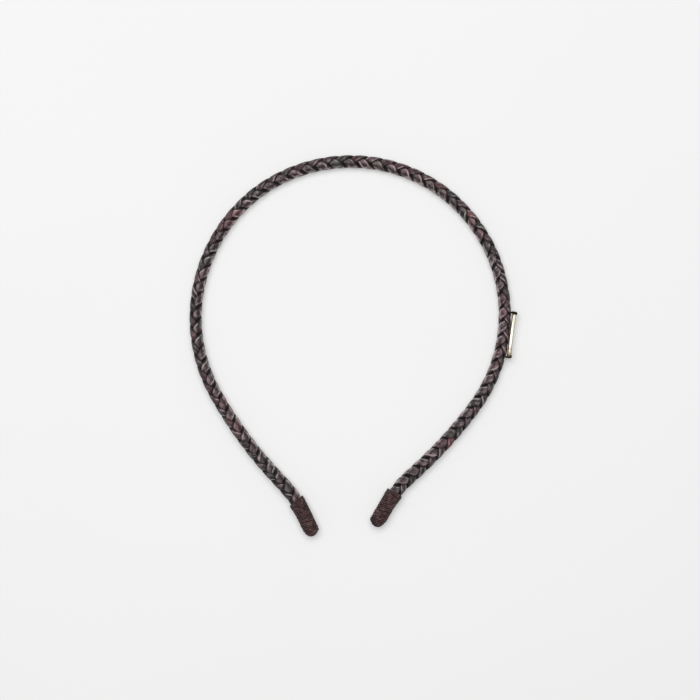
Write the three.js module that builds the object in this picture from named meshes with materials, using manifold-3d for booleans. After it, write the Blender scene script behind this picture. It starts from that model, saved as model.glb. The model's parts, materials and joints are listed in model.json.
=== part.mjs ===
// Braided leather headband, lying flat: a spring wire inside a round braid of six leather laces, with
// thread-bound tips and a small metal plate pinned to the outside of the right arm.
// Millimetres. +X towards the arm with the plate, +Y towards the crown, +Z up. The origin is the middle of the
// bounding box's base.
import * as THREE from 'three';
import Module from 'manifold-3d';
import { mergeVertices } from 'three/addons/utils/BufferGeometryUtils.js';

const degrees = THREE.MathUtils.degToRad;

// ---- Driving dimensions ----
// Each arm is a round arc, a nearly straight leg and a flare that turns the tip back outwards. Its length is
// measured along the centre line, from the crown to the end of the tip.
const LEFT_ARM = {
  length: 199.3, arcRadius: 62.3, arcTurn: 120.8, legLength: 43, legTurn: 12.4, flareRadius: 52, flareTurn: 18,
};
const RIGHT_ARM = {
  length: 198.2, arcRadius: 61.3, arcTurn: 127.3, legLength: 37.6, legTurn: 10.5, flareRadius: 48, flareTurn: 17.5,
};
const WIRE_DIAMETER = 1.4;
const LACES_EACH_WAY = 3;
const LAY_PITCH = 16.5; // one full turn of a lace round the braid
const LACE_WIDTH = 1.65;
const LACE_THICKNESS = 0.54;
const UNDER_RADIUS = 1.31; // middle of a lace's thickness where it passes under another lace
const OVER_RADIUS = 2.23; // the same where it passes over
const LEVEL_SHARE = 0.2; // how far a lace stays level each side of a crossing, in crossing spacings
const CROSSING_COLUMN = degrees(-10); // a line of crossings, measured round the braid from its outer side
const TIP_RADIUS = 3.15; // outside the thread, near the end of the tip
const MOUTH_RADIUS = 3.5; // outside the thread, where the binding starts
const MOUTH_TAPER = 6.5; // how far from its start the binding gets thinner
const BINDING_LENGTH = 16.2;
const BINDING_BORE = 2.58;
const END_CAP_LENGTH = 3.4;
const HINGE_DISTANCE = 45; // from the crown to about where each arm flexes, along the centre line
const HINGE_GAP = 1.1; // room between the crown's and an arm's solids, which the opening motion takes up
const PLATE = { length: 18.8, width: 4.6, thickness: 1.35, distance: 104, clearance: 0.3, bevel: 0.3 };
const FOOT = { thickness: 0.75, width: 3.4, gap: 0.2 }; // the plate's turned-in ends, down to the braid
const PRONG = { width: 0.85, tipRadius: 1.6 }; // a narrow tang on each foot, pushed between the laces
const CLEARANCE = 0.12; // between pieces that touch on the real object

const BRAID_RADIUS = OVER_RADIUS + LACE_THICKNESS / 2;
const CROSSING_SPACING = LAY_PITCH / (2 * LACES_EACH_WAY); // between a lace's crossings, along the centre line
// The plate's prongs stand one lay pitch apart, in the gaps half a column step away from a crossing.
const CROSSING_ORIGIN = PLATE.distance - LAY_PITCH / 2 + CROSSING_SPACING;
const MIDDLE_RADIUS = (OVER_RADIUS + UNDER_RADIUS) / 2;
const LACE_ANGLE = Math.atan(2 * Math.PI * MIDDLE_RADIUS / LAY_PITCH);

// ---- Materials ----
function finish(color, roughness, metalness) {
  return new THREE.MeshStandardMaterial({ color, roughness, metalness });
}
const plumLeather = () => finish(0x4f3d3e, 0.5, 0);
const blackLeather = () => finish(0x3d3a3c, 0.45, 0);
const waxedThread = () => finish(0x3f2d2b, 0.8, 0);
const springSteel = () => finish(0x8a8c90, 0.4, 1);
const blackPlastic = () => finish(0x262222, 0.5, 0);
const paleGold = () => finish(0xcbb791, 0.28, 1);

// ---- The centre line ----
function armStretches(arm) {
  const flareLength = arm.flareRadius * degrees(arm.flareTurn);
  return [
    { length: arm.arcRadius * degrees(arm.arcTurn), turn: degrees(arm.arcTurn) },
    { length: arm.legLength, turn: degrees(arm.legTurn) },
    { length: flareLength, turn: -degrees(arm.flareTurn) },
    { length: arm.length, turn: 0 },
  ];
}

// Where an arm is at a distance from the crown: x from the middle, y below zero, heading turned downwards.
function armPose(arm, distance) {
  const pose = { x: 0, y: 0, heading: 0 };
  let left = distance;
  for (const { length, turn } of armStretches(arm)) {
    const used = Math.min(left, length);
    const bend = turn / length;
    const next = pose.heading + bend * used;
    if (Math.abs(bend) > 1e-9) {
      pose.x += (Math.sin(next) - Math.sin(pose.heading)) / bend;
      pose.y += (Math.cos(next) - Math.cos(pose.heading)) / bend;
    } else {
      pose.x += Math.cos(next) * used;
      pose.y -= Math.sin(next) * used;
    }
    pose.heading = next;
    left -= used;
  }
  return pose;
}

// The band lies on its crown and on the thick starts of its two bindings, so the centre line climbs a little
// towards the tips.
const BINDING_DEPTH = -armPose(LEFT_ARM, LEFT_ARM.length - BINDING_LENGTH).y;
const LIE = (MOUTH_RADIUS - BRAID_RADIUS) / BINDING_DEPTH;

// Along the whole band: s is negative on the left arm, zero at the crown and positive on the right arm.
function bandPose(s) {
  const side = s < 0 ? -1 : 1;
  const pose = armPose(s < 0 ? LEFT_ARM : RIGHT_ARM, Math.abs(s));
  return {
    centre: new THREE.Vector3(side * pose.x, pose.y, -pose.y * LIE),
    outward: new THREE.Vector3(side * Math.sin(pose.heading), Math.cos(pose.heading), 0),
    turn: -side * pose.heading,
  };
}

// A point at a radius and an angle round the centre line; angle 0 is the outer side, a quarter turn is up.
function bandPoint(s, radius, angle) {
  const { centre, outward } = bandPose(s);
  const point = centre.addScaledVector(outward, radius * Math.cos(angle));
  point.z += radius * Math.sin(angle);
  return point;
}

// ---- Geometry helpers ----
function signedVolume(geometry) {
  const at = geometry.attributes.position;
  const [a, b, c] = [new THREE.Vector3(), new THREE.Vector3(), new THREE.Vector3()];
  let volume = 0;
  for (let i = 0; i < geometry.index.count; i += 3) {
    a.fromBufferAttribute(at, geometry.index.getX(i));
    b.fromBufferAttribute(at, geometry.index.getX(i + 1));
    c.fromBufferAttribute(at, geometry.index.getX(i + 2));
    volume += a.dot(b.cross(c)) / 6;
  }
  return volume;
}

function facingOut(geometry) {
  if (signedVolume(geometry) < 0) {
    const index = geometry.index;
    for (let i = 0; i < index.count; i += 3) {
      const second = index.getX(i + 1);
      index.setX(i + 1, index.getX(i + 2));
      index.setX(i + 2, second);
    }
  }
  geometry.computeVertexNormals();
  return geometry;
}

function welded(geometry) {
  const bare = geometry.clone();
  bare.deleteAttribute('normal');
  bare.deleteAttribute('uv');
  return mergeVertices(bare, 1e-4);
}

// A closed solid through rings of four corners. Its faces twist, so each is split along the diagonal that
// suits the way the lace winds.
function ribbon(rings, sense) {
  const positions = rings.flat().flatMap((corner) => corner.toArray());
  const indices = [0, 2, 1, 0, 3, 2];
  for (let ring = 0; ring < rings.length - 1; ring += 1) {
    for (let corner = 0; corner < 4; corner += 1) {
      const a = 4 * ring + corner;
      const b = 4 * ring + (corner + 1) % 4;
      if (sense > 0) {
        indices.push(a, b, a + 4, b, b + 4, a + 4);
      } else {
        indices.push(a, b, b + 4, a, b + 4, a + 4);
      }
    }
  }
  const last = 4 * (rings.length - 1);
  indices.push(last, last + 1, last + 2, last, last + 2, last + 3);
  const geometry = new THREE.BufferGeometry();
  geometry.setAttribute('position', new THREE.Float32BufferAttribute(positions, 3));
  geometry.setIndex(indices);
  return facingOut(geometry);
}

function armOn(side) {
  return side < 0 ? LEFT_ARM : RIGHT_ARM;
}

// A turned profile of [radius, distance from the tip] pairs, bent to follow the end of an arm.
function turnedOnTip(side, profile, segments = 16) {
  const points = profile.map(([radius, fromTip]) => new THREE.Vector2(radius, fromTip));
  const geometry = welded(new THREE.LatheGeometry(points, segments));
  const at = geometry.attributes.position;
  for (let i = 0; i < at.count; i += 1) {
    const s = side * (armOn(side).length - at.getY(i));
    const point = bandPoint(s, Math.hypot(at.getX(i), at.getZ(i)), Math.atan2(at.getZ(i), at.getX(i)));
    at.setXYZ(i, point.x, point.y, point.z);
  }
  return facingOut(geometry);
}

// ---- Braid ----
// sense is +1 for a lace that climbs with s and -1 for one that falls. Each lace lies on top for half a turn,
// which is three crossings, then underneath: climbing laces are on top on the inner side of the band, falling
// ones on its outer side.
function laceRadius(sense, index, crossing) {
  const columns = 2 * LACES_EACH_WAY;
  const column = sense * crossing + 2 * index + 1;
  const outerSide = ((column % columns) + columns) % columns < LACES_EACH_WAY;
  return outerSide === (sense > 0) ? UNDER_RADIUS : OVER_RADIUS;
}

function laceRing(sense, index, s, cutSquare) {
  const step = (s - CROSSING_ORIGIN) / CROSSING_SPACING;
  const before = Math.floor(step);
  const ramp = THREE.MathUtils.clamp((step - before - LEVEL_SHARE) / (1 - 2 * LEVEL_SHARE), 0, 1);
  const [start, end] = [before, before + 1].map((crossing) => laceRadius(sense, index, crossing));
  const radius = THREE.MathUtils.lerp(start, end, ramp);
  const angle = CROSSING_COLUMN + sense * 2 * Math.PI * (s - CROSSING_ORIGIN) / LAY_PITCH
    + index * 2 * Math.PI / LACES_EACH_WAY;
  const half = LACE_WIDTH / 2;
  const alongShift = cutSquare ? 0 : sense * Math.sin(LACE_ANGLE) * half;
  const turnShift = (cutSquare ? half / Math.cos(LACE_ANGLE) : half * Math.cos(LACE_ANGLE)) / radius;
  const corner = (across, out) => bandPoint(
    s - across * alongShift, radius + out * LACE_THICKNESS / 2, angle + across * turnShift);
  return [corner(-1, -1), corner(1, -1), corner(1, 1), corner(-1, 1)];
}

function laceGeometry(sense, index, from, to) {
  const margin = LACE_WIDTH / 2;
  const rings = [laceRing(sense, index, from, true)];
  const first = Math.floor((from - CROSSING_ORIGIN) / CROSSING_SPACING);
  const last = Math.ceil((to - CROSSING_ORIGIN) / CROSSING_SPACING);
  for (let crossing = first; crossing <= last; crossing += 1) {
    for (const edge of [-LEVEL_SHARE, LEVEL_SHARE]) {
      const s = CROSSING_ORIGIN + (crossing + edge) * CROSSING_SPACING;
      if (s > from + margin && s < to - margin) {
        rings.push(laceRing(sense, index, s, false));
      }
    }
  }
  rings.push(laceRing(sense, index, to, true));
  return ribbon(rings, sense);
}

// ---- Spring wire ----
class BandCurve extends THREE.Curve {
  constructor(from, to) {
    super();
    this.from = from;
    this.to = to;
  }

  getPoint(t) {
    return bandPose(THREE.MathUtils.lerp(this.from, this.to, t)).centre;
  }
}

function wireGeometry(from, to) {
  const section = new THREE.Shape().absarc(0, 0, WIRE_DIAMETER / 2, 0, 2 * Math.PI);
  const steps = Math.ceil((to - from) / 5);
  return new THREE.ExtrudeGeometry(section, {
    steps, curveSegments: 5, bevelEnabled: false, extrudePath: new BandCurve(from, to) });
}

// ---- Tips ----
const BRAID_SHORTFALL = END_CAP_LENGTH + CLEARANCE; // how far short of the tip's end the laces stop
const WIRE_SHORTFALL = END_CAP_LENGTH - 1.2; // the wire reaches into the end cap
const CAP_RADIUS = BINDING_BORE - CLEARANCE;
const THREAD_DEPTH = TIP_RADIUS - BINDING_BORE;

function dome(radius, apex, base, pieces) {
  return Array.from({ length: pieces + 1 }, (_, i) => {
    const angle = i / pieces * Math.PI / 2;
    return [radius * Math.sin(angle), base - (base - apex) * Math.cos(angle)];
  });
}

// A domed plug that closes the end of the braid, with a blind hole that the wire enters.
function endCapGeometry(side) {
  const bore = WIRE_DIAMETER / 2 + CLEARANCE;
  const boreEnd = WIRE_SHORTFALL - CLEARANCE;
  return turnedOnTip(side, [
    ...dome(CAP_RADIUS, THREAD_DEPTH + CLEARANCE, END_CAP_LENGTH - 0.4, 4),
    [CAP_RADIUS, END_CAP_LENGTH],
    [bore, END_CAP_LENGTH],
    [bore, boreEnd],
    [0, boreEnd],
  ]);
}

// Waxed thread wound side by side over the braid's end and closed over the plug.
function bindingGeometry(side) {
  const taperEnd = BINDING_LENGTH - MOUTH_TAPER;
  const lip = 0.3;
  return turnedOnTip(side, [
    ...dome(TIP_RADIUS, 0, END_CAP_LENGTH, 6),
    [TIP_RADIUS, taperEnd],
    [(TIP_RADIUS + MOUTH_RADIUS) / 2, taperEnd + MOUTH_TAPER / 2],
    [MOUTH_RADIUS, BINDING_LENGTH - lip],
    [MOUTH_RADIUS - lip, BINDING_LENGTH],
    [BINDING_BORE, BINDING_LENGTH],
    [BINDING_BORE, taperEnd + MOUTH_TAPER / 2],
    [BINDING_BORE, taperEnd],
    ...dome(BINDING_BORE, THREAD_DEPTH, END_CAP_LENGTH - 0.4, 5).reverse(),
  ]);
}

// ---- Plate ----
const wasm = await Module();
wasm.setup();

function toManifold(geometry) {
  const mesh = welded(geometry);
  return new wasm.Manifold(new wasm.Mesh({
    numProp: 3,
    vertProperties: new Float32Array(mesh.attributes.position.array),
    triVerts: new Uint32Array(mesh.index.array),
  }));
}

function fromManifold(solid) {
  const { vertProperties, triVerts } = solid.getMesh();
  const geometry = new THREE.BufferGeometry();
  geometry.setAttribute('position', new THREE.Float32BufferAttribute(vertProperties, 3));
  geometry.setIndex(new THREE.Uint32BufferAttribute(triVerts, 1));
  geometry.computeVertexNormals();
  return geometry;
}

// In the plate's own frame: X along the band, Y outwards with 0 at the plate's inner face, Z up.
function plateGeometry() {
  const { length, width, thickness, bevel } = PLATE;
  const [halfLength, halfWidth] = [length / 2 - bevel, width / 2 - bevel];
  const outline = new THREE.Shape([
    new THREE.Vector2(-halfLength, -halfWidth),
    new THREE.Vector2(halfLength, -halfWidth),
    new THREE.Vector2(halfLength, halfWidth),
    new THREE.Vector2(-halfLength, halfWidth),
  ]);
  const bar = new THREE.ExtrudeGeometry(outline, {
    depth: thickness - 2 * bevel,
    bevelEnabled: true,
    bevelThickness: bevel,
    bevelSize: bevel,
    bevelSegments: 1,
  });
  bar.translate(0, 0, bevel);
  bar.rotateX(-Math.PI / 2);
  let plate = toManifold(bar);
  const overlap = thickness / 2;
  const halfTurn = LAY_PITCH / 2 / RIGHT_ARM.arcRadius;
  const spread = (RIGHT_ARM.arcRadius + MIDDLE_RADIUS) * Math.sin(halfTurn);
  // The plate is straight and the band is curved, so the feet bridge the gap that opens towards its ends.
  const rise = RIGHT_ARM.arcRadius * (1 - Math.cos(halfTurn));
  const footReach = rise + PLATE.clearance - FOOT.gap;
  const prongReach = rise + BRAID_RADIUS + PLATE.clearance - PRONG.tipRadius;
  for (const end of [-1, 1]) {
    for (const [reach, across] of [[footReach, FOOT.width], [prongReach, PRONG.width]]) {
      const block = new THREE.BoxGeometry(FOOT.thickness, reach + overlap, across);
      block.translate(end * spread, (overlap - reach) / 2, 0);
      plate = plate.add(toManifold(block));
    }
  }
  return fromManifold(plate);
}

function plateMesh() {
  const plate = new THREE.Mesh(plateGeometry(), paleGold());
  plate.name = 'side_plate';
  const { centre, outward, turn } = bandPose(PLATE.distance);
  plate.position.copy(centre).addScaledVector(outward, BRAID_RADIUS + PLATE.clearance);
  plate.position.z += MIDDLE_RADIUS * Math.sin(CROSSING_COLUMN);
  plate.rotation.z = turn;
  return plate;
}

// ---- Assembly ----
// The band's solids part at the two hinges, each at the crossing nearest to the hinge distance, where the laces
// lie level and clear of each other.
function nearestCrossing(s) {
  return CROSSING_ORIGIN + Math.round((s - CROSSING_ORIGIN) / CROSSING_SPACING) * CROSSING_SPACING;
}
const LEFT_HINGE = nearestCrossing(-HINGE_DISTANCE);
const RIGHT_HINGE = nearestCrossing(HINGE_DISTANCE);

// The two ends of each stretch of a piece that stops a little short of the end of both arms.
function stretches(shortfall) {
  const half = HINGE_GAP / 2;
  return {
    left: [shortfall - LEFT_ARM.length, LEFT_HINGE - half],
    crown: [LEFT_HINGE + half, RIGHT_HINGE - half],
    right: [RIGHT_HINGE + half, RIGHT_ARM.length - shortfall],
  };
}

function named(name, geometry, material) {
  const mesh = new THREE.Mesh(geometry, material);
  mesh.name = name;
  return mesh;
}

const band = new THREE.Group();
for (const [stretch, [from, to]] of Object.entries(stretches(WIRE_SHORTFALL))) {
  band.add(named(`spring_wire_${stretch}`, wireGeometry(from, to), springSteel()));
}
for (const [stretch, [from, to]] of Object.entries(stretches(BRAID_SHORTFALL))) {
  for (let index = 0; index < LACES_EACH_WAY; index += 1) {
    const number = index + 1;
    band.add(named(`lace_right_hand_${number}_${stretch}`, laceGeometry(1, index, from, to), plumLeather()));
    band.add(named(`lace_left_hand_${number}_${stretch}`, laceGeometry(-1, index, from, to), blackLeather()));
  }
}
for (const [name, side] of [['left', -1], ['right', 1]]) {
  band.add(named(`end_cap_${name}`, endCapGeometry(side), blackPlastic()));
  band.add(named(`thread_binding_${name}`, bindingGeometry(side), waxedThread()));
}
band.add(plateMesh());

// Put the origin at the middle of the base.
const box = new THREE.Box3().setFromObject(band);
const middle = box.getCenter(new THREE.Vector3());
band.position.set(-middle.x, -middle.y, -box.min.z);

export default band;
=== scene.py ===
import json
import math

import bmesh
import bpy
import numpy as np
from mathutils import Matrix, Vector


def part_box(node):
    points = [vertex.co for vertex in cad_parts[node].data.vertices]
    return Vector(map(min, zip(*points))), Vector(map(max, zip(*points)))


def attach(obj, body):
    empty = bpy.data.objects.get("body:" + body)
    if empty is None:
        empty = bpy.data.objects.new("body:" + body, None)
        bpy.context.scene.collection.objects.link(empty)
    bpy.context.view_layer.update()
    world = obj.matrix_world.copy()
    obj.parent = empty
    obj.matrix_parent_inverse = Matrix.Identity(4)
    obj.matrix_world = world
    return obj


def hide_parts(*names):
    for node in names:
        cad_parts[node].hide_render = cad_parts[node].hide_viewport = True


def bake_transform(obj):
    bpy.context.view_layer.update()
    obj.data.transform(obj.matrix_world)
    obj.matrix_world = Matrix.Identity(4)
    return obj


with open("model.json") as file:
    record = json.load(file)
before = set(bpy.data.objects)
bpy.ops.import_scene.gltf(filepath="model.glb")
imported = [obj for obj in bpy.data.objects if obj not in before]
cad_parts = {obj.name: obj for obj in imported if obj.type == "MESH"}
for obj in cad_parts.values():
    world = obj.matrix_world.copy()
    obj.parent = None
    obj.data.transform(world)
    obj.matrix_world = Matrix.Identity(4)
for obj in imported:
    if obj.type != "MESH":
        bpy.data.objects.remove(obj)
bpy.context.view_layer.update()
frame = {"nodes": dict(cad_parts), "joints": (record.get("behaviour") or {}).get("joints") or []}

MM = 0.001

# ---- Driving dimensions, the same as the CAD model's ----
LEFT_ARM = {"length": 199.3 * MM, "arc_radius": 62.3 * MM, "arc_turn": 120.8, "leg_length": 43 * MM,
            "leg_turn": 12.4, "flare_radius": 52 * MM, "flare_turn": 18}
RIGHT_ARM = {"length": 198.2 * MM, "arc_radius": 61.3 * MM, "arc_turn": 127.3, "leg_length": 37.6 * MM,
             "leg_turn": 10.5, "flare_radius": 48 * MM, "flare_turn": 17.5}
ARMS = {-1: LEFT_ARM, 1: RIGHT_ARM}
BRAID_RADIUS = 2.5 * MM
TIP_RADIUS = 3.15 * MM
MOUTH_RADIUS = 3.5 * MM
MOUTH_TAPER = 6.5 * MM
WIRE_RADIUS = 0.7 * MM
LACES_EACH_WAY = 3
LAY_PITCH = 16.5 * MM
CROSSING_SPACING = LAY_PITCH / (2 * LACES_EACH_WAY)
CROSSING_COLUMN = math.radians(-10)
BINDING_LENGTH = 16.2 * MM
END_CAP_LENGTH = 3.4 * MM
HINGE_DISTANCE = 45 * MM
PLATE_DISTANCE = 104 * MM
PLATE_LENGTH = 18.8 * MM
PLATE_WIDTH = 4.6 * MM
PLATE_THICKNESS = 1.35 * MM
PLATE_CLEARANCE = 0.3 * MM
CROSSING_ORIGIN = PLATE_DISTANCE - LAY_PITCH / 2 + CROSSING_SPACING

# ---- Looks only ----
SEED = 7

LACE_THICKNESS = 0.85 * MM
LACE_OVER = 2.2 * MM      # middle of a lace where it passes over another
LACE_UNDER = 1.38 * MM    # and where it passes under
LACE_HALF_SHARE = 0.49    # half a lace's width, as a share of the room between laces
LACE_EDGE_DROP = 0.24 * MM    # how far a lace's edges curl down
LACE_SQUARENESS = 2.7     # 2 is an oval section, more is squarer
LACE_SHORTFALL = 1.5 * MM     # how far short of the end cap's start a lace stops
LACE_SIDES = 18
RINGS_PER_CROSSING = 12
BRAID_ROLL = math.radians(-3)     # the braid is turned a little outwards on its wire
BRAID_TWIST = math.radians(3)     # and typically this much more or less along it
TWIST_SPACING = 45 * MM
INNER_LAG = 1.1 * MM      # how far the laces trail behind where they turn down on the inner side
LAG_START = math.radians(95)
LAG_REACH = math.radians(60)
# How thick the braid is at millimetres from the crown: tight on the arms, slack by the bindings, drawn in
# at a mouth.
GIRTH = [(0, 0.99), (90, 0.94), (177, 1.08), (189, 0.86)]
STRAY = 0.16 * MM         # how far the hand-bent band typically strays from its even line
STRAY_SPACING = 40 * MM
CREEP = 2.6 * MM          # how far the crossings have crept towards the tips, halfway down an arm
# Unevenness along a lace is drawn once for these crossings, more than the band has, so its two halves agree.
FIRST_CROSSING, LAST_CROSSING = -90, 260
WIDTH_SPACING, WIDTH_CHANGE = 4.0, 0.02           # crossings, and a share of the room between laces
LIFT_SPACING, LIFT_CHANGE = 1.5, 0.022 * MM
STAIN_SPACING, STAIN_CHANGE = 12.0, 0.08
STAIN_MIDDLE, STAIN_SPREAD = 0.45, 0.62
SHOWING_START = {1: 0.5, -1: -2.5}                # the column where a lace starts to show, by its sense
DYE_SPACING = 9 * MM      # length of a stretch of band that took the dye alike
DYE_CHANGE = 0.12

WIRE_SIDES = 12
WIRE_RINGS = 140
WIRE_SHORTFALL = END_CAP_LENGTH - 1.1 * MM    # the wire reaches into the end cap

THREAD_RADIUS = 0.46 * MM
THREAD_PITCH = 0.72 * MM
THREAD_STEP = 0.2 * MM
THREAD_SIDES = 10
THREAD_PLIES = 3
PLY_LAY = 2.6 * MM        # one full turn of a ply round the thread
THREAD_TAPER = 2.5 * MM   # over which the thread reaches its full thickness
WINDING_SPACING, WINDING_CHANGE = 3.5 * MM, 0.07 * MM     # how unevenly its turns lie side by side
BULGE_SPACING, BULGE_CHANGE = 2.2 * MM, 0.035 * MM        # and how unevenly they stand out
DOME_TURN = math.radians(84)      # how far up the domed end the thread is wound
# How far the thread's turns lean over, at the binding's mouth and at its end.
THREAD_LEAN = {-1: (0.3 * MM, -0.6 * MM), 1: (-0.3 * MM, -0.8 * MM)}

PLATE_BOW = 0.22 * MM     # how far the plate's middle is pressed in
PLATE_END_SWELL = 0.34 * MM   # how much thicker the plate is at its two dark ends
PLATE_END_START = 0.84    # where the swelling starts and how far it takes, as shares of half the plate
PLATE_END_RISE = 0.08
PLATE_BEVEL = 0.32 * MM
PLATE_CORNER = 0.9 * MM   # outer and inner radius of the bend into a foot
PLATE_INNER_CORNER = 0.25 * MM
CORNER_STEPS = 8
BAR_STEPS = 14
FOOT_THICKNESS = 0.75 * MM
FOOT_SHORTFALL = 0.15 * MM    # how far short of the braid a foot stops
TANG_REACH = 0.9 * MM     # how far a tang goes in between the laces
TANG_SHARE = 0.22         # a tang's width, as a share of the plate's

FLOOR_HALF = 3.0
VIEW_WIDTH = 280 * MM     # what the picture shows across
CAMERA_HEIGHT = 900 * MM
CAMERA_FROM_CROWN = (-0.48 * MM, -75.42 * MM)
SENSOR_WIDTH = 36         # millimetres, as Blender takes it


# ---- The centre line ----
def arm_stretches(arm):
    """Length and turn of each stretch of an arm, from the crown outwards."""
    arc_turn = math.radians(arm["arc_turn"])
    flare_turn = math.radians(arm["flare_turn"])
    return [
        (arm["arc_radius"] * arc_turn, arc_turn),
        (arm["leg_length"], math.radians(arm["leg_turn"])),
        (arm["flare_radius"] * flare_turn, -flare_turn),
        (arm["length"], 0.0),
    ]


def arm_pose(arm, distance):
    """An arm's x, y and heading at distances from the crown; y is below zero and the heading turns down."""
    x = np.zeros_like(distance)
    y = np.zeros_like(distance)
    heading = np.zeros_like(distance)
    left = distance.copy()
    for length, turn in arm_stretches(arm):
        used = np.minimum(left, length)
        bend = turn / length
        after = heading + bend * used
        if bend:
            x += (np.sin(after) - np.sin(heading)) / bend
            y += (np.cos(after) - np.cos(heading)) / bend
        else:
            x += np.cos(heading) * used
            y -= np.sin(heading) * used
        heading = after
        left -= used
    return x, y, heading


# The band lies on its crown and on the thick starts of its bindings, so its line climbs towards the tips.
BINDING_DEPTH = -float(arm_pose(LEFT_ARM, np.array([LEFT_ARM["length"] - BINDING_LENGTH]))[1][0])
LIE = (MOUTH_RADIUS - BRAID_RADIUS) / BINDING_DEPTH


def band_frame(s):
    """Centre and outward direction at distances s along the band, below zero on the left arm."""
    on_left = s < 0
    poses = zip(arm_pose(LEFT_ARM, np.abs(s)), arm_pose(RIGHT_ARM, np.abs(s)))
    x, y, heading = [np.where(on_left, left, right) for left, right in poses]
    side = np.where(on_left, -1.0, 1.0)
    centre = np.stack([side * x, y, -y * LIE], axis=-1) + CROWN
    outward = np.stack([side * np.sin(heading), np.cos(heading), np.zeros_like(x)], axis=-1)
    return centre, outward


def girth(s):
    """How thick the braid is at s, as a share of its even thickness."""
    places, shares = np.array(GIRTH).T
    return np.interp(np.abs(s) / MM, places, shares)


def hand_bent(s):
    """How far inwards the band strays from its even line; its ends are held true."""
    places = np.linspace(-LEFT_ARM["length"], RIGHT_ARM["length"], 400)
    strays = ripple(np.random.default_rng(SEED + 2), places, STRAY_SPACING, STRAY)
    held = np.clip((LEFT_ARM["length"] - BINDING_LENGTH - np.abs(places)) / STRAY_SPACING, 0, 1)
    return np.interp(s, places, strays * held)


def crept(s):
    """How far the crossings have crept at s: nothing at the crown and at the tips, most halfway."""
    return CREEP * np.sin(math.pi * s / LEFT_ARM["length"])


def band_points(s, radius, angle):
    """Points round the centre line; angle 0 is the band's outer side and a quarter turn is up."""
    centre, outward = band_frame(s)
    centre = centre - outward * hand_bent(s)[..., None]
    up = np.array([0.0, 0.0, 1.0])
    return centre + outward * (radius * np.cos(angle))[..., None] + up * (radius * np.sin(angle))[..., None]


def nearest_crossing(s):
    return CROSSING_ORIGIN + round((s - CROSSING_ORIGIN) / CROSSING_SPACING) * CROSSING_SPACING


def joint_place(child):
    joint = next(j for j in frame["joints"] if j["child"] == child)
    return np.array(joint["pos_m"], float)


# Each shoulder joint stands on the centre line, so it tells where the crown is. band_frame first measures
# from a crown at zero, and then from its real place.
SHOULDERS = {-1: nearest_crossing(-HINGE_DISTANCE), 1: nearest_crossing(HINGE_DISTANCE)}
CROWN = np.zeros(3)
CROWN = joint_place("left_arm") - band_frame(np.array([SHOULDERS[-1]]))[0][0]


# ---- Mesh helpers ----
def new_object(name, verts, faces, material, attributes=None):
    """A smooth mesh object with its material and point attributes."""
    mesh = bpy.data.meshes.new(name)
    mesh.from_pydata([tuple(v) for v in verts], [], faces)
    mesh.materials.append(material)
    mesh.shade_smooth()
    for key, values in (attributes or {}).items():
        layer = mesh.attributes.new(key, "FLOAT", "POINT")
        layer.data.foreach_set("value", np.asarray(values, np.float32))
    obj = bpy.data.objects.new(name, mesh)
    bpy.context.scene.collection.objects.link(obj)
    return obj


def tube_faces(rings, sides):
    """Quads between rings of points, with a cap on each end."""
    faces = []
    for ring in range(rings - 1):
        for side in range(sides):
            a = ring * sides + side
            b = ring * sides + (side + 1) % sides
            faces.append((a, b, b + sides, a + sides))
    last = (rings - 1) * sides
    faces.append(tuple(range(sides - 1, -1, -1)))
    faces.append(tuple(range(last, last + sides)))
    return faces


def facing_out(obj):
    """Turns the faces outwards and drops nothing else."""
    edit = bmesh.new()
    edit.from_mesh(obj.data)
    bmesh.ops.recalc_face_normals(edit, faces=edit.faces)
    edit.to_mesh(obj.data)
    edit.free()
    return obj


def ripple(rng, places, spacing, amount):
    """Smooth random values along a line of places."""
    low, high = places.min() - spacing, places.max() + spacing
    knots = np.arange(low, high + 2 * spacing, spacing)
    values = rng.normal(0, amount, len(knots))
    step = (places - low) / spacing
    left = np.floor(step).astype(int)
    blend = step - left
    blend = blend * blend * (3 - 2 * blend)
    return values[left] * (1 - blend) + values[left + 1] * blend


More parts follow.
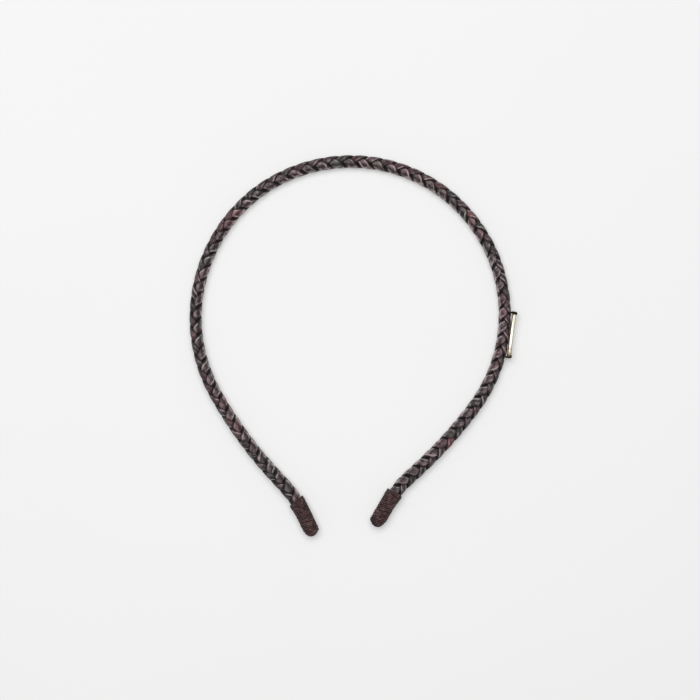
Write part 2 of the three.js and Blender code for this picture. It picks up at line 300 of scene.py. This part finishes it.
# ---- Material helpers ----
class Nodes:
    """A short way to write a material's node graph."""

    def __init__(self, name):
        self.material = bpy.data.materials.new(name)
        self.material.use_nodes = True
        self.tree = self.material.node_tree
        self.shader = self.tree.nodes["Principled BSDF"]

    def add(self, kind, **inputs):
        node = self.tree.nodes.new(kind)
        for key, value in inputs.items():
            self.put(node, key, value)
        return node

    def put(self, node, key, value):
        socket = node.inputs[int(key[1:])] if key.startswith("i") and key[1:].isdigit() else node.inputs[key]
        if isinstance(value, bpy.types.NodeSocket):
            self.tree.links.new(value, socket)
        else:
            socket.default_value = value

    def attribute(self, name):
        node = self.add("ShaderNodeAttribute")
        node.attribute_name = name
        return node.outputs["Fac"]

    def math(self, operation, first, second=0.0, clamp=False):
        node = self.add("ShaderNodeMath", i0=first, i1=second)
        node.operation = operation
        node.use_clamp = clamp
        return node.outputs[0]

    def vector(self, x, y, z):
        return self.add("ShaderNodeCombineXYZ", i0=x, i1=y, i2=z).outputs[0]

    def noise(self, place, scale, detail=3.0, roughness=0.55):
        node = self.add("ShaderNodeTexNoise", Vector=place, Scale=scale, Detail=detail, Roughness=roughness)
        return node.outputs["Fac"]

    def cells(self, place, scale):
        node = self.add("ShaderNodeTexVoronoi", Vector=place, Scale=scale)
        node.feature = "DISTANCE_TO_EDGE"
        return node.outputs["Distance"]

    def ramp(self, value, stops):
        node = self.add("ShaderNodeValToRGB", Fac=value)
        elements = node.color_ramp.elements
        while len(elements) < len(stops):
            elements.new(0.5)
        for element, (position, color) in zip(elements, stops):
            element.position = position
            element.color = (*color, 1) if len(color) == 3 else color
        return node.outputs["Color"]

    def range(self, value, low, high, new_low, new_high):
        node = self.add("ShaderNodeMapRange", i0=value, i1=low, i2=high, i3=new_low, i4=new_high)
        return node.outputs[0]

    def mix(self, factor, first, second, blend="MIX"):
        node = self.add("ShaderNodeMix")
        node.data_type = "RGBA"
        node.blend_type = blend
        for index, value in ((0, factor), (6, first), (7, second)):
            if isinstance(value, bpy.types.NodeSocket):
                self.tree.links.new(value, node.inputs[index])
            else:
                node.inputs[index].default_value = value if index == 0 else (*value, 1)
        return node.outputs[2]

    def bump(self, height, strength, distance, normal=None):
        node = self.add("ShaderNodeBump", Height=height, Strength=strength, Distance=distance)
        if normal is not None:
            self.put(node, "Normal", normal)
        return node.outputs[0]

    def finish(self, **inputs):
        for key, value in inputs.items():
            self.put(self.shader, key.replace("_", " "), value)
        return self.material


# ---- Materials ----
def leather_material():
    """Hand-stained lace leather: grey-black to plum from cell to cell, waxed, with streaky painted highlights
    on its tops and painted shade in its gaps.
    """
    n = Nodes("stained_leather")
    along = n.attribute("along")
    across = n.attribute("across")
    height = n.attribute("height")
    outer = n.attribute("outer_side")
    # Lace coordinates in metres, so that the grain runs with the lace.
    flat_across = n.math("MULTIPLY", across, 1.7 * MM)
    place = n.vector(along, flat_across, n.attribute("lace"))
    stretched = n.vector(n.math("MULTIPLY", along, 0.3), flat_across, n.attribute("lace"))
    blotch = n.noise(place, 650, detail=5, roughness=0.65)
    tone = n.math("ADD", n.attribute("stain"), n.range(blotch, 0.3, 0.7, -0.22, 0.22), clamp=True)
    color = n.ramp(tone, [
        (0.0, (0.014, 0.014, 0.014)),
        (0.3, (0.027, 0.020, 0.022)),
        (0.5, (0.047, 0.024, 0.028)),
        (0.75, (0.078, 0.029, 0.036)),
        (1.0, (0.135, 0.043, 0.048)),
    ])
    # Lighter in streaks on the tops, partly rubbing and partly painted highlight, most of all along the pared
    # edges and on the inner side.
    wear_and_painted_light = n.mix(n.range(n.attribute("tint"), 0.62, 0.85, 0.0, 1.0), (0.40, 0.28, 0.30), (0.28, 0.26, 0.24))
    painted_highlight_streaks = n.range(n.noise(stretched, 1200, detail=6, roughness=0.72), 0.49, 0.66, 0.0, 1.0)
    top = n.range(height, 0.2, 1.0, 0.0, 1.0)
    color = n.mix(n.math("MULTIPLY", n.math("MULTIPLY", top, painted_highlight_streaks), 0.75), color, wear_and_painted_light)
    sunk = n.range(n.noise(place, 950, detail=4, roughness=0.6), 0.50, 0.60, 0.0, 0.85)
    color = n.mix(sunk, color, (0.010, 0.007, 0.008))
    # Lighter where the right-hand laces come up over the top of the braid, partly rubbing and partly painted
    # highlight, and painted shade where they turn down.
    round_braid = n.attribute("round")
    climbing = n.range(n.attribute("sense"), 0.0, 1.0, 0.0, 1.0)
    rise = n.math("MULTIPLY", n.range(round_braid, 62, 78, 0.0, 1.0), n.range(round_braid, 84, 106, 1.0, 0.0))
    rise = n.math("MULTIPLY", n.math("MULTIPLY", rise, climbing), n.range(blotch, 0.38, 0.6, 0.0, 0.55))
    color = n.mix(rise, color, wear_and_painted_light)
    turning_down = n.range(round_braid, 96, 112, 0.0, 1.0)
    turn_down_shade = n.math("MULTIPLY", turning_down, n.range(round_braid, 124, 138, 1.0, 0.0))
    color = n.mix(n.math("MULTIPLY", turn_down_shade, 0.62), color, (0.018, 0.009, 0.011))
    # Pale stripes along the pared edges are partly bare leather and partly painted highlight; the pale inner
    # side of the band is painted light, as if thrown up from the table.
    side = n.math("ABSOLUTE", across)
    pared_edge_and_highlight = n.math("MULTIPLY", n.range(side, 0.36, 0.5, 0.0, 1.0), n.range(side, 0.54, 0.66, 1.0, 0.0))
    patchy = n.range(n.noise(stretched, 800, detail=2), 0.5, 0.6, 0.0, 0.8)
    inner_side = n.range(outer, -0.6, -0.85, 0.0, 0.9)
    inner_painted_light = n.math("MULTIPLY", inner_side, n.range(blotch, 0.42, 0.58, 0.0, 1.0))
    pale = n.math("MAXIMUM", n.math("MULTIPLY", pared_edge_and_highlight, patchy), inner_painted_light)
    color = n.mix(pale, color, n.mix(0.35, wear_and_painted_light, (0.60, 0.56, 0.54)))
    uneven = n.range(n.noise(place, 420, detail=2), 0.38, 0.62, -0.16, 0.04)
    # Painted shade: near-black along the lace edges and in the dips where a lace passes under, and darker on
    # the braid's outer side. Left-hand laces run into their neighbours more softly than right-hand ones.
    hardness = n.range(n.attribute("sense"), -1, 1, 0.9, 1.0)
    edge_shade = n.range(n.math("ADD", side, uneven), 0.64, 0.76, 0.0, hardness)
    dip_shade = n.range(height, -0.4, 0.4, 1.0, 0.0)
    dark = n.math("MAXIMUM", n.math("MAXIMUM", edge_shade, dip_shade), n.range(outer, 0.86, 1.0, 0.0, 0.7))
    color = n.mix(n.math("MULTIPLY", dark, 0.97), color, (0.004, 0.002, 0.002))
    pores = n.cells(place, 2800)
    squeezed = n.vector(n.math("MULTIPLY", along, 2.2), flat_across, n.attribute("lace"))
    creases = n.noise(squeezed, 700, detail=5)
    grain = n.bump(n.range(pores, 0.0, 0.12, 0.0, 1.0), 0.4, 0.05 * MM)
    grain = n.bump(creases, 0.9, 0.45 * MM, normal=grain)
    grain = n.bump(n.noise(stretched, 2600), 0.6, 0.12 * MM, normal=grain)
    rough = n.math("ADD", n.range(n.noise(place, 1800), 0.3, 0.7, 0.28, 0.5), n.math("MULTIPLY", dark, 0.4))
    return n.finish(Base_Color=color, Roughness=rough, Normal=grain, Specular_IOR_Level=0.3)


def thread_material():
    """Waxed thread: red-brown to chocolate, twisted, paler on its tops from wear and painted highlight, and
    painted shade near-black between the turns and in the grooves between its plies.
    """
    n = Nodes("waxed_thread")
    along = n.attribute("along")
    around = n.attribute("around")
    place = n.vector(along, n.math("MULTIPLY", around, THREAD_RADIUS), 0.0)
    twist = n.math("ADD", n.math("MULTIPLY", along, 2 * math.pi / (1.3 * MM)), around)
    strands = n.math("SINE", n.math("MULTIPLY", twist, 9.0))
    drawn_out = n.vector(n.math("MULTIPLY", along, 0.4), n.math("MULTIPLY", around, THREAD_RADIUS), 0.0)
    fibre = n.noise(drawn_out, 6000)
    on_object = n.add("ShaderNodeTexCoord").outputs["Object"]
    tone = n.noise(on_object, 420, detail=5, roughness=0.65)
    color = n.ramp(tone, [
        (0.32, (0.040, 0.019, 0.020)),
        (0.48, (0.088, 0.042, 0.043)),
        (0.60, (0.140, 0.075, 0.072)),
        (0.72, (0.260, 0.185, 0.165)),
    ])
    # Paler on the thread's outward tops: partly wear, partly painted highlight.
    wear_and_painted_light = n.range(n.math("COSINE", around), 0.3, 1.0, 0.0, 1.0)
    patch = n.range(n.noise(place, 520, detail=5, roughness=0.65), 0.5, 0.62, 0.0, 0.85)
    color = n.mix(n.math("MULTIPLY", wear_and_painted_light, patch), color, (0.27, 0.19, 0.175))
    matted = n.range(n.noise(on_object, 1100, detail=4), 0.5, 0.64, 0.0, 0.8)
    color = n.mix(matted, color, (0.012, 0.007, 0.007))
    # Painted shade: near-black on the thread's sides between the turns, and darker in the grooves between its
    # plies.
    between = n.range(n.math("COSINE", around), 0.25, 0.85, 0.95, 0.0)
    color = n.mix(between, color, (0.004, 0.002, 0.002))
    color = n.mix(n.math("MULTIPLY", n.attribute("ply_groove_shade"), 0.6), color, (0.012, 0.006, 0.006))
    relief = n.bump(n.range(strands, -1.0, 1.0, 0.0, 1.0), 0.4, 0.04 * MM)
    relief = n.bump(fibre, 0.6, 0.08 * MM, normal=relief)
    rough = n.range(tone, 0.3, 0.7, 0.5, 0.8)
    return n.finish(Base_Color=color, Roughness=rough, Normal=relief, Specular_IOR_Level=0.2)


def gold_material():
    """Pale gold plating over brass: polishing lines, smudges, a near-black end, and the other half browning
    towards its end in painted shade.
    """
    n = Nodes("pale_gold")
    place = n.add("ShaderNodeTexCoord").outputs["Object"]
    lines = n.add("ShaderNodeMapping", Vector=place, Scale=(1.0, 0.04, 1.0)).outputs[0]
    brushed = n.noise(lines, 9000, detail=4)
    smudge = n.noise(place, 300, detail=4)
    color = n.ramp(smudge, [(0.3, (0.50, 0.47, 0.38)), (0.7, (0.58, 0.55, 0.46))])
    # The end nearer the crown is near-black, and the other half is painted browner and browner towards its
    # end, which is painted shade.
    along_bar = n.attribute("along_bar")
    black = n.range(along_bar, -0.83, -0.9, 0.0, 1.0)
    brown = n.math("ADD", n.range(along_bar, 0.2, 0.85, 0.0, 0.42), n.range(along_bar, 0.82, 0.9, 0.0, 0.42))
    mottle = n.range(n.noise(place, 900, detail=5), 0.3, 0.7, -0.15, 0.15)
    wear_and_painted_light = n.math("ADD", n.math("MAXIMUM", black, brown), mottle, clamp=True)
    dark_ends_and_painted_shade = n.ramp(wear_and_painted_light, [(0.15, (1.0, 1.0, 1.0)), (0.5, (0.40, 0.33, 0.24)), (0.85, (0.04, 0.03, 0.022))])
    color = n.mix(1.0, color, dark_ends_and_painted_shade, blend="MULTIPLY")
    polish = n.range(n.math("ADD", brushed, smudge), 0.7, 1.3, 0.34, 0.46)
    rough = n.math("ADD", polish, n.math("MULTIPLY", wear_and_painted_light, 0.25))
    relief = n.bump(brushed, 0.12, 0.02 * MM)
    return n.finish(Base_Color=color, Metallic=1.0, Roughness=rough, Normal=relief)


def steel_material():
    """Drawn spring wire: bluish grey with lines along its length."""
    n = Nodes("spring_steel")
    place = n.add("ShaderNodeTexCoord").outputs["Object"]
    tone = n.noise(place, 900, detail=4)
    color = n.ramp(tone, [(0.3, (0.30, 0.31, 0.33)), (0.7, (0.50, 0.51, 0.53))])
    rough = n.range(tone, 0.3, 0.7, 0.3, 0.5)
    return n.finish(Base_Color=color, Metallic=1.0, Roughness=rough, Normal=n.bump(tone, 0.15, 0.02 * MM))


def plastic_material():
    """Matt black moulded plastic with a fine texture."""
    n = Nodes("cap_plastic")
    place = n.add("ShaderNodeTexCoord").outputs["Object"]
    tone = n.noise(place, 2500, detail=4)
    color = n.ramp(tone, [(0.3, (0.014, 0.012, 0.012)), (0.7, (0.026, 0.023, 0.022))])
    rough = n.range(tone, 0.3, 0.7, 0.45, 0.65)
    return n.finish(Base_Color=color, Roughness=rough, Normal=n.bump(tone, 0.2, 0.02 * MM))


def table_material():
    """The pale surface that the band lies on: a white table that glows a little, painted light that keeps the
    shadows faint.
    """
    n = Nodes("pale_table")
    place = n.add("ShaderNodeTexCoord").outputs["Object"]
    tone = n.noise(place, 6, detail=2)
    color = n.ramp(tone, [(0.3, (0.545, 0.545, 0.545)), (0.7, (0.555, 0.555, 0.555))])
    return n.finish(Base_Color=color, Roughness=0.9, Emission_Color=(1, 1, 1, 1), Emission_Strength=0.255)


# ---- Braid ----
def round_section(sides, squareness):
    """A rounded strip's section: across and height of each point, both from -1 to 1."""
    angle = np.arange(sides) / sides * 2 * math.pi
    power = 2 / squareness
    across = np.sign(np.cos(angle)) * np.abs(np.cos(angle)) ** power
    height = np.sign(np.sin(angle)) * np.abs(np.sin(angle)) ** power
    return across, height


def braid_warp(s):
    """Handwork isn't even: the crossings creep along the band and round it."""
    rng = np.random.default_rng(SEED)
    places = np.linspace(-LEFT_ARM["length"], RIGHT_ARM["length"], 400)
    twist = ripple(rng, places, TWIST_SPACING, BRAID_TWIST)
    return crept(s), BRAID_ROLL + np.interp(s, places, twist)


def dye_patches(s):
    """Stretches of the band where all the laces took the dye redder or greyer."""
    rng = np.random.default_rng(SEED + 1)
    places = np.linspace(-LEFT_ARM["length"], RIGHT_ARM["length"], 800)
    return np.interp(s, places, ripple(rng, places, DYE_SPACING, DYE_CHANGE))


def goes_under(sense, column):
    """Each lace lies on top for three crossings, then under for three; right-hand ones top the inner side."""
    return ((column + 1) % (2 * LACES_EACH_WAY) < LACES_EACH_WAY) == (sense > 0)


def weave(sense, column):
    """How high a lace lies, from -1 where it passes under to 1 where it passes over."""
    before = np.floor(column)
    step = column - before
    blend = step * step * (3 - 2 * step)
    first = np.where(goes_under(1, before), -1.0, 1.0)
    second = np.where(goes_under(1, before + 1), -1.0, 1.0)
    return sense * (first * (1 - blend) + second * blend)


def lace_run(sense, index, side):
    """The crossings that half a lace runs through, from the crown to one tip, in even steps."""
    origin = round(index - sense * CROSSING_ORIGIN / CROSSING_SPACING)
    # The halves meet at a crossing where this lace passes under another, so the join is covered.
    seam = next(place for place in range(origin, origin + 4) if goes_under(sense, index + place))
    reach = (ARMS[side]["length"] - END_CAP_LENGTH - LACE_SHORTFALL) / CROSSING_SPACING
    end = index + sense * (side * reach - CROSSING_ORIGIN / CROSSING_SPACING)
    return np.linspace(seam, end, int(abs(end - seam) * RINGS_PER_CROSSING))


def lace_surface(sense, index, run, width_noise, lift_noise):
    """A lace's points, with each point's height in the weave, angle round the braid and place along it."""
    across, height = round_section(LACE_SIDES, LACE_SQUARENESS)
    own = index + (LACE_HALF_SHARE + width_noise)[:, None] * across[None, :]
    other = np.repeat(run[:, None], LACE_SIDES, axis=1)
    first, second = (own, other) if sense > 0 else (other, own)
    s = CROSSING_ORIGIN + (second - first) * CROSSING_SPACING
    slip, twist = braid_warp(s)
    angle = CROSSING_COLUMN + (first + second) * math.pi / LACES_EACH_WAY + twist

    wave = weave(sense, index + other)
    middle = (LACE_OVER + LACE_UNDER) / 2 + wave * (LACE_OVER - LACE_UNDER) / 2 + lift_noise[:, None]
    edge_drop = LACE_EDGE_DROP * np.abs(across) ** 2.5
    crowned = height * LACE_THICKNESS / 2
    radius = (middle - edge_drop[None, :] + crowned[None, :]) * girth(s)
    lag = INNER_LAG * np.clip((angle % (2 * math.pi) - LAG_START) / LAG_REACH, 0, 1)
    return band_points(s + slip - lag, radius, angle), across, wave, angle, s


def lace_half(sense, index, side, material):
    """Half of a lace and its CAD nodes. sense is +1 for a lace that climbs round the braid as s grows."""
    rng = np.random.default_rng([SEED, index, 1 + sense])
    run = lace_run(sense, index, side)
    rings = len(run)
    crossings = np.arange(FIRST_CROSSING, LAST_CROSSING, 1.0)
    width_noise = np.interp(run, crossings, ripple(rng, crossings, WIDTH_SPACING, WIDTH_CHANGE))
    lift_noise = np.interp(run, crossings, ripple(rng, crossings, LIFT_SPACING, LIFT_CHANGE))
    stain_noise = rng.uniform(0, 1, len(crossings))
    slow_stain = ripple(rng, crossings, STAIN_SPACING, STAIN_CHANGE)
    tint_noise = rng.uniform(0, 1, len(crossings))
    points, across, wave, angle, s = lace_surface(sense, index, run, width_noise, lift_noise)

    # Each stretch that shows between two unders took the dye in its own way.
    turns = (index + run - SHOWING_START[sense]) / (2 * LACES_EACH_WAY)
    stretch = np.floor(turns).astype(int) - FIRST_CROSSING
    drift = slow_stain[stretch] + dye_patches(s[:, 0])
    stain = STAIN_MIDDLE + STAIN_SPREAD * (stain_noise[stretch] - 0.5) + drift
    along = np.cumsum(np.r_[0, np.linalg.norm(np.diff(points[:, 0], axis=0), axis=1)])
    attributes = {
        "along": np.repeat(along, LACE_SIDES),
        "across": np.tile(across, rings),
        "height": np.repeat(wave[:, 0], LACE_SIDES),
        "stain": np.repeat(np.clip(stain, 0, 1), LACE_SIDES),
        "tint": np.repeat(tint_noise[stretch], LACE_SIDES),
        "outer_side": np.cos(angle).reshape(-1),
        "sense": np.full(rings * LACE_SIDES, float(sense)),
        "round": np.degrees(angle % (2 * math.pi)).reshape(-1),
        "lace": np.full(rings * LACE_SIDES, 0.01 * (index + 3 * sense + 5 * side)),
    }
    hand = "right" if sense > 0 else "left"
    arm = "left" if side < 0 else "right"
    name = f"lace_{hand}_hand_{index + 1}"
    faces = tube_faces(rings, LACE_SIDES)
    piece = new_object(f"{name}_{arm}_half", points.reshape(-1, 3), faces, material, attributes)
    facing_out(piece)
    return piece, [f"{name}_{arm}"] + ([f"{name}_crown"] if side < 0 else [])


# ---- Wire ----
def wire_half(side, material):
    """Half of the spring wire, from the crown to one end cap."""
    s = side * np.linspace(0, ARMS[side]["length"] - WIRE_SHORTFALL, WIRE_RINGS)
    grid_s = np.repeat(s[:, None], WIRE_SIDES, axis=1)
    angle = np.tile(np.arange(WIRE_SIDES) / WIRE_SIDES * 2 * math.pi, (WIRE_RINGS, 1))
    points = band_points(grid_s, np.full_like(grid_s, WIRE_RADIUS), angle)
    arm = "left" if side < 0 else "right"
    faces = tube_faces(WIRE_RINGS, WIRE_SIDES)
    piece = new_object(f"spring_wire_{arm}_half", points.reshape(-1, 3), faces, material)
    facing_out(piece)
    return piece, [f"spring_wire_{arm}"] + (["spring_wire_crown"] if side < 0 else [])


def bend_at_shoulder(piece, side):
    """Bakes the piece's placement into its mesh."""
    outward = band_frame(np.array([SHOULDERS[side]]))[1][0]
    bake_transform(piece)


# ---- Thread binding ----
def binding_profile():
    """The thread's centre from mouth to tip: distance from the tip, radius and path length."""
    straight = np.linspace(BINDING_LENGTH - THREAD_RADIUS, END_CAP_LENGTH, 60)
    into_mouth = np.clip((straight - (BINDING_LENGTH - MOUTH_TAPER)) / MOUTH_TAPER, 0, 1)
    turn = np.linspace(0, DOME_TURN, 40)[1:]
    radius = TIP_RADIUS - THREAD_RADIUS
    from_tip = np.r_[straight, THREAD_RADIUS + (END_CAP_LENGTH - THREAD_RADIUS) * (1 - np.sin(turn))]
    out = np.r_[radius + (MOUTH_RADIUS - TIP_RADIUS) * into_mouth, radius * np.cos(turn)]
    length = np.cumsum(np.r_[0, np.hypot(np.diff(from_tip), np.diff(out))])
    return from_tip, out, length


def even_steps(out, length):
    """Steps that are even along the thread: how far each is on the profile and along the thread."""
    fine = np.linspace(0, length[-1], 6000)
    speed = np.hypot(1.0, 2 * math.pi * np.interp(fine, length, out) / THREAD_PITCH)
    run = np.cumsum(np.r_[0, (speed[1:] + speed[:-1]) / 2 * np.diff(fine)])
    distance = np.linspace(0, run[-1], int(run[-1] / THREAD_STEP))
    return np.interp(distance, run, fine), distance


def thread_directions(centre, inner):
    """Unit vectors away from the tip's middle and sideways, square to the thread at each of its steps."""
    tangent = np.gradient(centre, axis=0)
    tangent /= np.linalg.norm(tangent, axis=1)[:, None]
    normal = centre - inner
    normal -= (normal * tangent).sum(1)[:, None] * tangent
    normal /= np.linalg.norm(normal, axis=1)[:, None]
    return normal, np.cross(tangent, normal)


def thread_binding(side, material):
    """One waxed thread wound side by side round a tip and spiralled shut over its domed end."""
    from_tip, out, length = binding_profile()
    ahead, distance = even_steps(out, length)
    rng = np.random.default_rng([SEED, 20 + side])
    turn = 2 * math.pi * ahead / THREAD_PITCH
    wander = ripple(rng, distance, WINDING_SPACING, WINDING_CHANGE)
    bound = length[-1] - END_CAP_LENGTH
    lean = np.interp(ahead, [0, bound, bound + END_CAP_LENGTH / 2], [*THREAD_LEAN[side], 0])
    s = side * (ARMS[side]["length"] - np.interp(ahead, length, from_tip) - wander + lean * np.cos(turn))
    out_here = np.interp(ahead, length, out) + ripple(rng, distance, BULGE_SPACING, BULGE_CHANGE)
    centre = band_points(s, out_here, turn)
    normal, sideways = thread_directions(centre, band_points(s, out_here - 0.1 * MM, turn))

    around = np.arange(THREAD_SIDES) / THREAD_SIDES * 2 * math.pi
    ply = THREAD_PLIES * (around[None, :] - distance[:, None] * 2 * math.pi / PLY_LAY)
    thickness = np.clip(distance / THREAD_TAPER, 0.25, 1) * (1 + ripple(rng, distance, 2 * MM, 0.06))
    radius = THREAD_RADIUS * thickness[:, None] * (0.97 + 0.07 * np.cos(ply))
    points = (centre[:, None] + normal[:, None] * (radius * np.cos(around))[..., None]
              + sideways[:, None] * (radius * np.sin(around))[..., None])
    attributes = {
        "along": np.repeat(distance, THREAD_SIDES),
        "around": np.tile(around, len(distance)),
        "ply_groove_shade": (0.5 - 0.5 * np.cos(ply)).reshape(-1) ** 2,
    }
    arm = "left" if side < 0 else "right"
    faces = tube_faces(len(distance), THREAD_SIDES)
    piece = new_object(f"thread_binding_{arm}_wound", points.reshape(-1, 3), faces, material, attributes)
    facing_out(piece)
    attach(piece, f"{arm}_arm")
    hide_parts(f"thread_binding_{arm}")


# ---- Plate ----
def corner_arc(x, y, radius):
    """A quarter circle round (x, y), from its right to its top."""
    angles = [step / CORNER_STEPS * math.pi / 2 for step in range(CORNER_STEPS + 1)]
    return [(x + radius * math.cos(angle), y + radius * math.sin(angle)) for angle in angles]


def staple_outline(foot_reach):
    """The plate's side view: a straight bar whose ends turn in towards the braid round a soft corner."""
    half = PLATE_LENGTH / 2
    inside_half = half - FOOT_THICKNESS
    outer_x = half - PLATE_CORNER
    inner_x = inside_half - PLATE_INNER_CORNER
    right = [(half, -foot_reach), *corner_arc(outer_x, PLATE_THICKNESS - PLATE_CORNER, PLATE_CORNER)]
    inside = [(inside_half, -foot_reach), *corner_arc(inner_x, -PLATE_INNER_CORNER, PLATE_INNER_CORNER)]
    # Points along the bar, so that it can bow.
    right += [(x, PLATE_THICKNESS) for x in np.linspace(outer_x, 0, BAR_STEPS)[1:-1]]
    inside += [(x, 0.0) for x in np.linspace(inner_x, 0, BAR_STEPS)[1:-1]]
    mirrored = [(-x, y) for x, y in reversed(right)]
    mirrored_inside = [(-x, y) for x, y in inside]
    return right + mirrored + mirrored_inside + inside[::-1]


def add_tangs(edit, foot_reach, tang_reach):
    """A narrow tang on the end of each foot."""
    def is_foot(face):
        low = face.calc_center_median().y < -foot_reach * 0.9
        return face.normal.y < -0.99 and low and face.calc_area() > 1e-6

    feet = sorted(filter(is_foot, edit.faces), key=lambda face: face.calc_center_median().x)
    for foot in feet:
        shoulder = bmesh.ops.extrude_discrete_faces(edit, faces=[foot])["faces"][0]
        middle = shoulder.calc_center_median()
        for vert in shoulder.verts:
            vert.co.z = middle.z + (vert.co.z - middle.z) * TANG_SHARE
        tang = bmesh.ops.extrude_discrete_faces(edit, faces=[shoulder])["faces"][0]
        bmesh.ops.translate(edit, verts=tang.verts, vec=(0, foot_reach - tang_reach, 0))


def plate_mesh(foot_reach, tang_reach):
    """The straight plate: X runs along the band, Y outwards and Z up."""
    edit = bmesh.new()
    bottom = [edit.verts.new((x, y, -PLATE_WIDTH / 2)) for x, y in staple_outline(foot_reach)]
    face = edit.faces.new(bottom)
    grown = bmesh.ops.extrude_face_region(edit, geom=[face])
    lifted = [v for v in grown["geom"] if isinstance(v, bmesh.types.BMVert)]
    bmesh.ops.translate(edit, verts=lifted, vec=(0, 0, PLATE_WIDTH))
    bmesh.ops.recalc_face_normals(edit, faces=edit.faces)
    edges = [e for e in edit.edges if e.calc_face_angle(0) > math.radians(60)]
    bmesh.ops.bevel(edit, geom=edges, offset=PLATE_BEVEL, segments=4, profile=0.5, affect="EDGES")
    add_tangs(edit, foot_reach, tang_reach)
    mesh = bpy.data.meshes.new("side_plate_bent")
    edit.to_mesh(mesh)
    edit.free()
    return mesh


def bow_and_swell(mesh):
    """Presses the plate's middle in, thickens its ends and notes how far along the bar each point is."""
    along_bar = np.array([vert.co.x for vert in mesh.vertices]) / (PLATE_LENGTH / 2)
    share = np.abs(along_bar)
    bow = PLATE_BOW * np.clip(1 - share ** 2, 0, 1)
    swell = PLATE_END_SWELL * np.clip((share - PLATE_END_START) / PLATE_END_RISE, 0, 1)
    for vert, inwards, grown in zip(mesh.vertices, bow, swell):
        vert.co.y += grown * (1 if vert.co.y > PLATE_THICKNESS / 2 else 0) - inwards
        vert.co.z += grown * (1 if vert.co.z > 0 else -1)
    layer = mesh.attributes.new("along_bar", "FLOAT", "POINT")
    layer.data.foreach_set("value", along_bar.astype(np.float32))


def side_plate(material):
    """A metal plate with turned-in feet, each with a tang pushed between the laces."""
    centre, outward = [v[0] for v in band_frame(np.array([PLATE_DISTANCE]))]
    half_turn = LAY_PITCH / 2 / RIGHT_ARM["arc_radius"]
    rise = RIGHT_ARM["arc_radius"] * (1 - math.cos(half_turn))
    down_to_braid = rise + PLATE_CLEARANCE
    mesh = plate_mesh(down_to_braid - FOOT_SHORTFALL, down_to_braid + TANG_REACH)
    mesh.materials.append(material)
    mesh.shade_smooth()
    mesh.set_sharp_from_angle(angle=math.radians(35))
    bow_and_swell(mesh)
    piece = bpy.data.objects.new("side_plate_bent", mesh)
    bpy.context.scene.collection.objects.link(piece)

    y_axis = Vector(outward)
    x_axis = y_axis.cross(Vector((0, 0, 1)))
    origin = Vector(centre) + y_axis * (BRAID_RADIUS + PLATE_CLEARANCE)
    origin.z = sum(corner.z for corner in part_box("side_plate")) / 2
    turn = Matrix((x_axis, y_axis, Vector((0, 0, 1)))).transposed().to_4x4()
    mesh.transform(Matrix.Translation(origin) @ turn)
    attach(piece, "right_arm")
    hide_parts("side_plate")


# ---- Surroundings ----
def floor():
    """A wide pale table top at height zero."""
    half = FLOOR_HALF
    corners = [(-half, -half, 0), (half, -half, 0), (half, half, 0), (-half, half, 0)]
    plane = new_object("floor", corners, [(0, 1, 2, 3)], table_material())


def camera():
    """Straight above the band, near its middle."""
    data = bpy.data.cameras.new("camera")
    data.sensor_width = SENSOR_WIDTH
    data.lens = SENSOR_WIDTH * CAMERA_HEIGHT / VIEW_WIDTH
    data.clip_start = 0.01
    data.clip_end = 20
    obj = bpy.data.objects.new("camera", data)
    obj.location = Vector(CROWN) + Vector((*CAMERA_FROM_CROWN, CAMERA_HEIGHT))
    bpy.context.scene.collection.objects.link(obj)
    bpy.context.scene.camera = obj


def area_light(name, place, target, size, power):
    """A rectangular lamp at a place, turned towards a target."""
    data = bpy.data.lights.new(name, "AREA")
    data.shape = "RECTANGLE"
    data.size, data.size_y = size
    data.energy = power
    obj = bpy.data.objects.new(name, data)
    obj.location = place
    obj.rotation_euler = (Vector(target) - Vector(place)).to_track_quat("-Z", "Y").to_euler()
    bpy.context.scene.collection.objects.link(obj)


def lights():
    """A broad soft light overhead, a little towards the crown, in a dim pale room."""
    area_light("softbox", (-0.12, 0.30, 1.3), (0, 0, 0), (1.2, 1.1), 20)
    world = bpy.data.worlds.new("room")
    world.use_nodes = True
    background = world.node_tree.nodes["Background"]
    background.inputs["Color"].default_value = (1, 1, 1, 1)
    background.inputs["Strength"].default_value = 0.28
    bpy.context.scene.world = world
    bpy.context.scene.view_settings.view_transform = "Standard"
    bpy.context.scene.view_settings.look = "None"


# ---- Assembly ----
camera()
lights()
floor()
leather = leather_material()
for sense in (1, -1):
    for index in range(LACES_EACH_WAY):
        for side in (-1, 1):
            lace, nodes = lace_half(sense, index, side, leather)
            bend_at_shoulder(lace, side)
            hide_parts(*nodes)
steel = steel_material()
for side in (-1, 1):
    wire, nodes = wire_half(side, steel)
    bend_at_shoulder(wire, side)
    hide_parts(*nodes)
thread = thread_material()
thread_binding(-1, thread)
thread_binding(1, thread)
side_plate(gold_material())
plastic = plastic_material()
for name in ("end_cap_left", "end_cap_right"):
    cap = frame["nodes"][name]
    cap.data.materials.clear()
    cap.data.materials.append(plastic)

bpy.context.view_layer.update()
